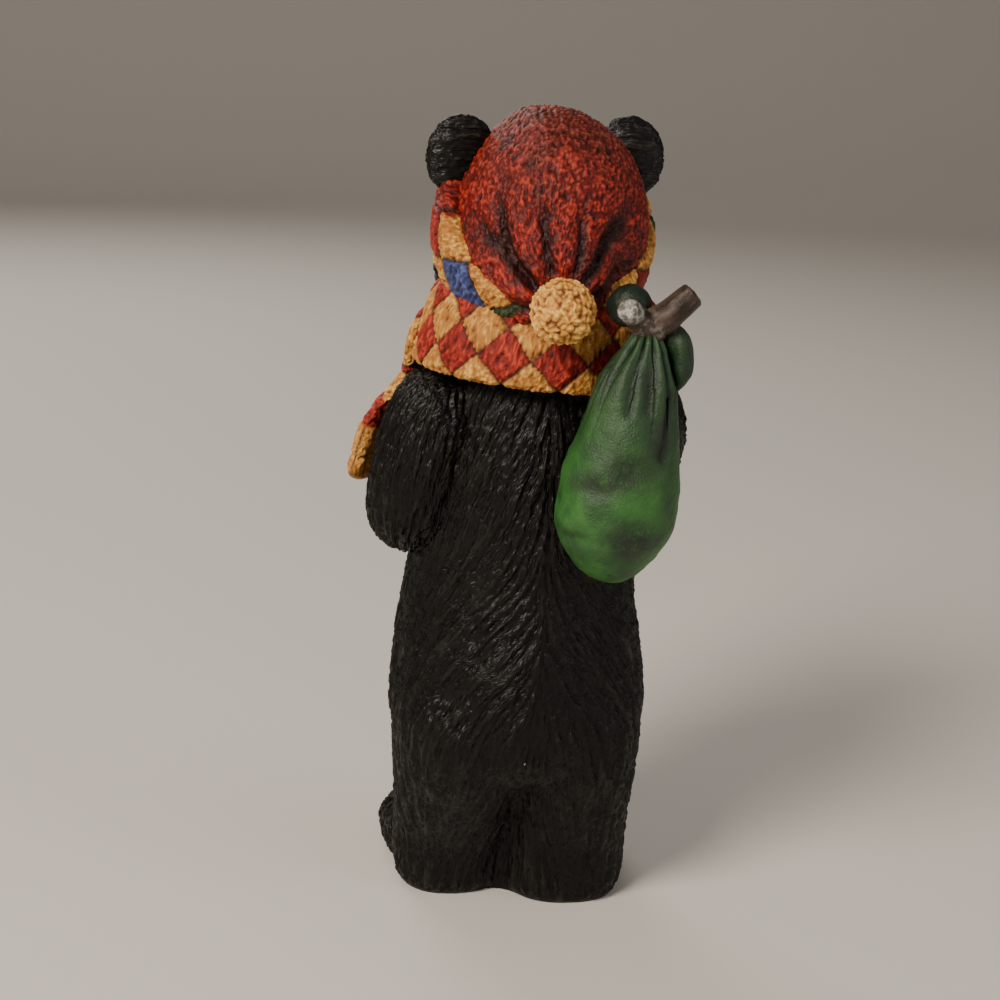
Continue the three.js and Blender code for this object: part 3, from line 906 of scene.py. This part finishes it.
class Paint:
    """A material of the casting, made of nodes."""

    def __init__(self, name, **constants):
        self.material = bpy.data.materials.new(name)
        self.material.use_nodes = True
        self.tree = self.material.node_tree
        self.tree.nodes.clear()
        self.shader = self.tree.nodes.new("ShaderNodeBsdfPrincipled")
        out = self.tree.nodes.new("ShaderNodeOutputMaterial")
        self.tree.links.new(self.shader.outputs[0], out.inputs[0])
        self.set(self.shader, {key.replace("_", " "): value for key, value in constants.items()})

    def set(self, node, inputs):
        for key, value in inputs.items():
            if isinstance(value, Value):
                self.tree.links.new(value.socket, node.inputs[key])
            else:
                node.inputs[key].default_value = value

    def node(self, kind, settings=None, inputs=None):
        """Adds a node with its settings first, then its inputs, and gives its outputs."""
        node = self.tree.nodes.new(kind)
        for key, value in (settings or {}).items():
            setattr(node, key, value)
        self.set(node, inputs or {})
        return [Value(self, socket) for socket in node.outputs]

    def mix(self, factor, a, b):
        """Colour a where factor is 0 and b where it is 1."""
        a, b = (value if isinstance(value, Value) else (*value, 1) for value in (a, b))
        return self.node("ShaderNodeMix", {"data_type": "RGBA"}, {0: factor, 6: a, 7: b})[2]

    def attribute(self, name):
        return self.node("ShaderNodeAttribute", {"attribute_name": name})[2]

    def vector(self, name):
        return self.node("ShaderNodeAttribute", {"attribute_name": name})[1]

    def place(self):
        """Millimetres in the frame that the pose is written in."""
        position = self.node("ShaderNodeTexCoord")[3]
        scaled = self.node("ShaderNodeVectorMath", {"operation": "SCALE"}, {0: position, 3: 1000.0})[0]
        return self.node("ShaderNodeVectorMath", {"operation": "ADD"}, {0: scaled, 1: MIDDLE})[0]

    def noise(self, at, scale, detail=2.0, rough=0.5):
        return self.node("ShaderNodeTexNoise", None, {0: at, 2: scale, 3: detail, 4: rough})[0]

    def parts(self, vector):
        return self.node("ShaderNodeSeparateXYZ", None, {0: vector})

    def together(self, x, y, z):
        return self.node("ShaderNodeCombineXYZ", None, {0: x, 1: y, 2: z})[0]

    def finish(self, colour, roughness=None, bump=None, depth=0.0002):
        self.set(self.shader, {"Base Color": colour})
        if roughness is not None:
            self.set(self.shader, {"Roughness": roughness})
        if bump is not None:
            inputs = {"Height": bump, "Distance": depth, "Strength": 1.0}
            self.set(self.shader, {"Normal": self.node("ShaderNodeBump", None, inputs)[0]})
        return self.material


def near_spot(paint, at, centre, size, inner=0.85, outer=1.15):
    """1 inside an egg shape of half sizes size round centre, and 0 outside it."""
    away = paint.node("ShaderNodeVectorMath", {"operation": "SUBTRACT"}, {0: at, 1: centre})[0]
    scaled = paint.node("ShaderNodeVectorMath", {"operation": "DIVIDE"}, {0: away, 1: size})[0]
    length = paint.node("ShaderNodeVectorMath", {"operation": "LENGTH"}, {0: scaled})[1]
    return 1 - length.above(inner, outer)


def hair_noise(paint, at):
    """Noise round 0 that is near 0 on the hairs."""
    return paint.noise(at, 1.3, 1.0, 0.5) - 0.5


def hairs_on_body(paint):
    """Fine hairs along the lay of the body's fur, in two sets of bands that fade into each other."""
    at = paint.place()
    x, y, z = paint.parts(at)
    beside = (x - PARTING).maths("ABSOLUTE")
    low, high = z.above(*FAN_BEGINS), z.above(*FAN_EASES)
    fan = (low * (1 - high * FAN_EASING) * FAN_MORE + FAN_LEAST) * beside.above(-2, 7)
    wander = paint.noise(at, 0.12) * 1.2
    total = 0
    for shift in (0, 0.5):
        band = z / LOCK_LENGTH + wander + shift
        number = band.maths("FLOOR")
        local = band - number - 0.5
        across = beside + fan * local * LOCK_LENGTH
        comb = paint.together(across, y, local * (LOCK_LENGTH * STRETCH) + number * 17.3)
        fade = 1 - local.maths("ABSOLUTE") * 2
        total = total + hair_noise(paint, comb) * fade
    return 1 - total.maths("ABSOLUTE") * 5


def combed_hairs(paint):
    """Fine hairs along the arms, and back over the face."""
    return 1 - hair_noise(paint, paint.vector("comb")).maths("ABSOLUTE") * 5


def fur_colour(paint, lock, hair, dark, light):
    """Dark between the hairs, and lighter on the top of each lock: a dry-brushed tone that also stands in for
    a painted highlight.
    """
    return paint.mix((lock + hair * 0.3).above(0.75, 1.35), dark, light)


def fur_paint(name, hairs):
    paint = Paint(name, Specular_IOR_Level=0.22)
    at = paint.place()
    lock = paint.attribute("lock")
    hair = hairs(paint)
    colour = fur_colour(paint, lock, hair, (0.0016, 0.0013, 0.0011), (0.012, 0.009, 0.0065))
    for speck in SPECKS:
        colour = paint.mix(near_spot(paint, at, speck, (0.22, 5, 0.22)), colour, (0.6, 0.58, 0.52))
    return paint.finish(colour, 0.46 - hair * 0.07, hair, 0.00013)


def face_paint():
    paint = Paint("bear_face", Specular_IOR_Level=0.25)
    at = paint.place()
    lock = paint.attribute("lock")
    hair = combed_hairs(paint)
    black = fur_colour(paint, lock, hair, (0.002, 0.0017, 0.0016), (0.024, 0.020, 0.016))
    tan = fur_colour(paint, lock, hair, (0.11, 0.058, 0.028), (0.36, 0.22, 0.12))
    muzzle = near_spot(paint, at, tuple(MUZZLE_ROOT + [0, -4, -2.5]), (11, 12.5, 10.5))
    coat = paint.mix(muzzle, black, tan)
    nose = near_spot(paint, at, tuple(NOSE_CENTRE), (4.3, 3.6, 3.3))
    colour = paint.mix(nose, coat, (0.006, 0.005, 0.005))
    return paint.finish(colour, 0.46 - nose * 0.24 - hair * 0.07, hair * (1 - nose), 0.0001)


def eye_paint():
    paint = Paint("eyes", Roughness=0.12, Coat_Weight=0.6)
    return paint.finish((0.012, 0.006, 0.003, 1))


def yarn(paint, knob, wash_and_shade, colour, light):
    """A colour of yarn: dark in the gaps, partly a wash and partly painted shade, and light on top of the
    loops, partly dry-brushing and partly a painted highlight.
    """
    low = paint.mix(knob.above(0.05, 0.52), wash_and_shade, colour)
    return paint.mix(knob.above(0.5, 1.0), low, light)


def grain(paint, at):
    """Fine grain of the casting."""
    return paint.noise(at, 2.2, 3.0, 0.6)


def cap_paint():
    paint = Paint("red_knitting", Specular_IOR_Level=0.24)
    at = paint.place()
    fine = grain(paint, at)
    knob = paint.attribute("knob") + fine * 0.5 - 0.25
    red = yarn(paint, knob, (0.010, 0.0012, 0.0008), (0.115, 0.004, 0.0025), (0.40, 0.030, 0.013))
    dusty = yarn(paint, knob, (0.011, 0.003, 0.002), (0.080, 0.009, 0.006), (0.25, 0.042, 0.025))
    up = (paint.parts(at)[2] + paint.noise(at, 0.12, 2.0) * 26).above(174, 194)
    colour = paint.mix(up, red, dusty)
    dark = paint.noise(at, 0.17, 3.0).above(0.52, 0.7)
    colour = paint.mix(dark * 0.65, colour, (0.020, 0.005, 0.004))
    # Darker in the deep folds of the cap: painted shade where the folds recede.
    colour = paint.mix(paint.attribute("crease_shade") * 0.95, colour, (0.014, 0.0016, 0.0012))
    return paint.finish(colour, 0.52 - fine * 0.14, knob + fine * 0.5)


def main_lozenge(u, v):
    """1 in the lozenges centred on the band, and 0 in the ones between them."""
    down, up = (u + v).maths("FLOOR"), (u - v).maths("FLOOR")
    return 1 - (down - up).maths("MODULO", 2).maths("ABSOLUTE")


def knitting_paint(name, pick):
    """Knitting with lozenges, the main ones in the colour that pick gives and ochre ones between."""
    paint = Paint(name, Specular_IOR_Level=0.26)
    at = paint.place()
    fine = grain(paint, at)
    knob = paint.attribute("knob") + fine * 0.6 - 0.3
    cut, u, v = (paint.attribute(key) for key in ("cut", "u", "v"))
    aged = paint.noise(at, 0.2, 2.0).above(0.35, 0.7)
    ochre = yarn(paint, knob, (0.09, 0.025, 0.004), (0.42, 0.175, 0.030), (0.78, 0.45, 0.11))
    ochre = paint.mix(aged * 0.5, ochre, (0.30, 0.10, 0.017))
    main_colour, main = pick(paint, knob, u, v)
    colour = paint.mix(main, ochre, main_colour)
    # Dark brown in the lines cut between the lozenges and in the gaps between the loops: partly a wash,
    # partly painted shade in the recesses.
    gap_wash_and_shade = cut + (1 - knob).above(0.6, 1.05) * 0.6
    colour = paint.mix(gap_wash_and_shade.above(0.1, 1.0) * 0.85, colour, (0.022, 0.008, 0.004))
    return paint.finish(colour, 0.6 - fine * 0.12, knob + fine * 0.6)


def red_yarn(paint, knob):
    return yarn(paint, knob, (0.026, 0.0015, 0.001), (0.19, 0.008, 0.004), (0.46, 0.045, 0.018))


def band_colours(paint, knob, u, v):
    """Red, blue and green lozenges round the cap's band."""
    number = u.maths("FLOOR").maths("FLOORED_MODULO", BAND_LOZENGES)
    colour = red_yarn(paint, knob)
    blue = yarn(paint, knob, (0.004, 0.005, 0.018), (0.022, 0.032, 0.12), (0.085, 0.11, 0.28))
    green = yarn(paint, knob, (0.002, 0.004, 0.002), (0.010, 0.022, 0.009), (0.04, 0.07, 0.028))
    for dye, lozenges in ((blue, (0, 3, 8)), (green, (1, 4, 7))):
        for lozenge in lozenges:
            here = 1 - (number - lozenge).maths("ABSOLUTE").above(0.4, 0.6)
            colour = paint.mix(here, colour, dye)
    # Under the left ear the red lozenge runs over the ochre, and its red is darker there as a painted shadow
    # under the ear.
    by_ear = near_spot(paint, paint.place(), (22.5, 2, 164), (5, 9, 6.5))
    main = main_lozenge(u, v)
    red_in_painted_shadow = yarn(paint, knob, (0.012, 0.0015, 0.001), (0.105, 0.005, 0.0035), (0.34, 0.032, 0.015))
    return paint.mix(by_ear, colour, red_in_painted_shadow), (main + by_ear).maths("MINIMUM", 1)


def scarf_colours(paint, knob, u, v):
    """Red lozenges along the scarf, with an ochre fringe below a red end."""
    plain = paint.attribute("fringe") + paint.attribute("dyed")
    main = main_lozenge(u, v) * (1 - plain) + paint.attribute("dyed")
    return red_yarn(paint, knob), main


def pompom_paint():
    paint = Paint("yellow_pompom", Specular_IOR_Level=0.4)
    at = paint.place()
    fine = grain(paint, at)
    knob = paint.attribute("knob") + fine * 0.4 - 0.34
    colour = yarn(paint, knob, (0.15, 0.04, 0.007), (0.58, 0.27, 0.045), (0.88, 0.58, 0.17))
    return paint.finish(colour, 0.6 - fine * 0.1, knob + fine * 0.4)


def stick_paint():
    paint = Paint("driftwood", Specular_IOR_Level=0.3)
    at = paint.place()
    bark = paint.attribute("bark")
    patches = paint.noise(at, 0.3, 3.0)
    fine = grain(paint, at)
    wood = paint.mix((bark * 0.5 + patches).above(0.45, 1.05), (0.020, 0.013, 0.009), (0.080, 0.055, 0.040))
    cut_end = near_spot(paint, at, STICK_END, (4.2, 3.2, 3.8))
    rings = paint.noise(at, 0.9, 3.0, 0.6)
    pale = paint.mix(rings.above(0.35, 0.65), (0.09, 0.08, 0.07), (0.42, 0.40, 0.37))
    colour = paint.mix(cut_end, wood, pale)
    dusty = near_spot(paint, at, (-14.5, 34, 139.5), (3.6, 4.5, 3.6))
    colour = paint.mix(dusty * rings.above(0.45, 0.7) * 0.6, colour, (0.26, 0.24, 0.22))
    return paint.finish(colour, 0.42 + patches * 0.15, fine + rings, 0.00015)


def cloth_paint():
    paint = Paint("green_cloth", Specular_IOR_Level=0.4)
    at = paint.place()
    fold = paint.attribute("fold")
    fine = grain(paint, at)
    patches = paint.noise(at, 0.13, 3.0)
    worn = paint.noise(at, 0.5, 4.0, 0.7)
    high = (paint.parts(at)[2] + worn * 14 + patches * 16).above(122, 150)
    green = paint.mix(patches.above(0.32, 0.68), (0.010, 0.052, 0.010), (0.028, 0.125, 0.020))
    # Lighter green on the tops of the folds, broken up by noise: a painted highlight.
    ridge_highlight = (fold * 0.6 + worn * 0.4 + fine * 0.25 + patches * 0.2).above(0.72, 1.15)
    green = paint.mix(ridge_highlight * 0.55, green, (0.075, 0.20, 0.045))
    green = paint.mix(high * 0.8, green, (0.011, 0.024, 0.011))
    # Near black in the valleys between the folds: painted shade.
    colour = paint.mix((1 - fold).above(0.4, 0.9) * 0.9, green, (0.003, 0.004, 0.003))
    for centre, size, strength in WASHES:
        spot = near_spot(paint, at, centre, size, 0.2, 1.35) * (worn + fine * 0.8).above(0.5, 1.0)
        colour = paint.mix(spot * strength, colour, (0.008, 0.009, 0.008))
    over_stick = near_spot(paint, at, OVER_STICK, (5.6, 5.4, 5.4))
    colour = paint.mix(over_stick * 0.85, colour, (0.004, 0.010, 0.005))
    return paint.finish(colour, 0.40 + worn * 0.16, fine + worn * 0.5)


# Room


def make_floor():
    """A pale sheet that lies under the figure and curves up beyond it. Its sizes are in metres."""
    material = Paint("pale_floor", Roughness=0.8).finish((0.60, 0.57, 0.53, 1))
    reach, flat, radius, height = 9, 1.4, 0.8, 3.5
    bend = np.linspace(0, math.pi / 2, 24)
    side = np.concatenate([[reach], -flat - radius * np.sin(bend), [-flat - radius]])
    level = np.concatenate([[0], radius - radius * np.cos(bend), [height]])
    rows = len(side)
    points = np.array([(x, y, z) for x in (reach, -reach) for y, z in zip(side, level)])
    first = np.arange(rows - 1)
    a, b, c, d = first, first + 1, first + 1 + rows, first + rows
    faces = np.concatenate([np.stack([a, b, c], 1), np.stack([a, c, d], 1)])
    mesh = mesh_of("floor", points, faces)
    mesh.shade_smooth()
    mesh.materials.append(material)
    floor = placed("floor", mesh)


def make_light(name, place, size, power, colour):
    """A round lamp at place, turned to the middle of the figure."""
    light = bpy.data.lights.new(name, "AREA")
    light.shape = "DISK"
    light.size = size
    light.energy = power
    light.color = colour
    obj = placed(name, light)
    obj.location = place
    obj.rotation_euler = (Vector((0, 0, 0.09)) - Vector(place)).to_track_quat("-Z", "Y").to_euler()


def make_lights():
    make_light("key", (0.62, 0.58, 0.72), 0.42, 15, (1, 0.90, 0.78))
    make_light("fill", (-0.9, 0.6, 0.55), 0.7, 3.0, (1, 0.95, 0.9))
    make_light("front", (0.3, -0.9, 0.7), 0.7, 4.5, (1, 0.96, 0.9))
    world = bpy.data.worlds.new("room")
    world.use_nodes = True
    background = world.node_tree.nodes["Background"]
    background.inputs["Color"].default_value = (1, 0.94, 0.87, 1)
    background.inputs["Strength"].default_value = 0.22
    bpy.context.scene.world = world


def make_camera():
    """The photograph's view: from behind, 10 degrees round to the bear's left, a little above."""
    azimuth, pitch, roll = (math.radians(a) for a in (170, 15.2, 3.3))
    away, aside, above = 389, 7.4, 201
    back = np.array([math.sin(azimuth), -math.cos(azimuth), 0])
    right = np.array([math.cos(azimuth), math.sin(azimuth), 0])
    up = np.array([0, 0, 1.0])
    eye = (back * away - right * aside + up * above - MIDDLE) * MM
    ahead = -back * math.cos(pitch) - up * math.sin(pitch)
    down = back * math.sin(pitch) - up * math.cos(pitch)
    image_right = right * math.cos(roll) - down * math.sin(roll)
    image_down = right * math.sin(roll) + down * math.cos(roll)
    camera = bpy.data.cameras.new("camera")
    camera.sensor_fit = "HORIZONTAL"
    camera.sensor_width = 36
    camera.lens = 64.8
    camera.clip_start = 0.01
    obj = placed("camera", camera)
    turn = Matrix(np.column_stack([image_right, -image_down, -ahead]).tolist())
    obj.matrix_world = Matrix.Translation(eye) @ turn.to_4x4()
    bpy.context.scene.camera = obj


make_camera()
make_floor()
make_lights()
make_body(fur_paint("body_fur", hairs_on_body))
make_arms(fur_paint("arm_fur", combed_hairs))
make_head(face_paint())
make_eyes(eye_paint())
make_cap(cap_paint())
make_band(knitting_paint("lozenge_band", band_colours))
make_pompom(pompom_paint())
make_scarf(knitting_paint("lozenge_scarf", scarf_colours))
make_stick(stick_paint())
green_cloth = cloth_paint()
make_bundle(green_cloth)
make_ties(green_cloth)

bpy.context.view_layer.update()
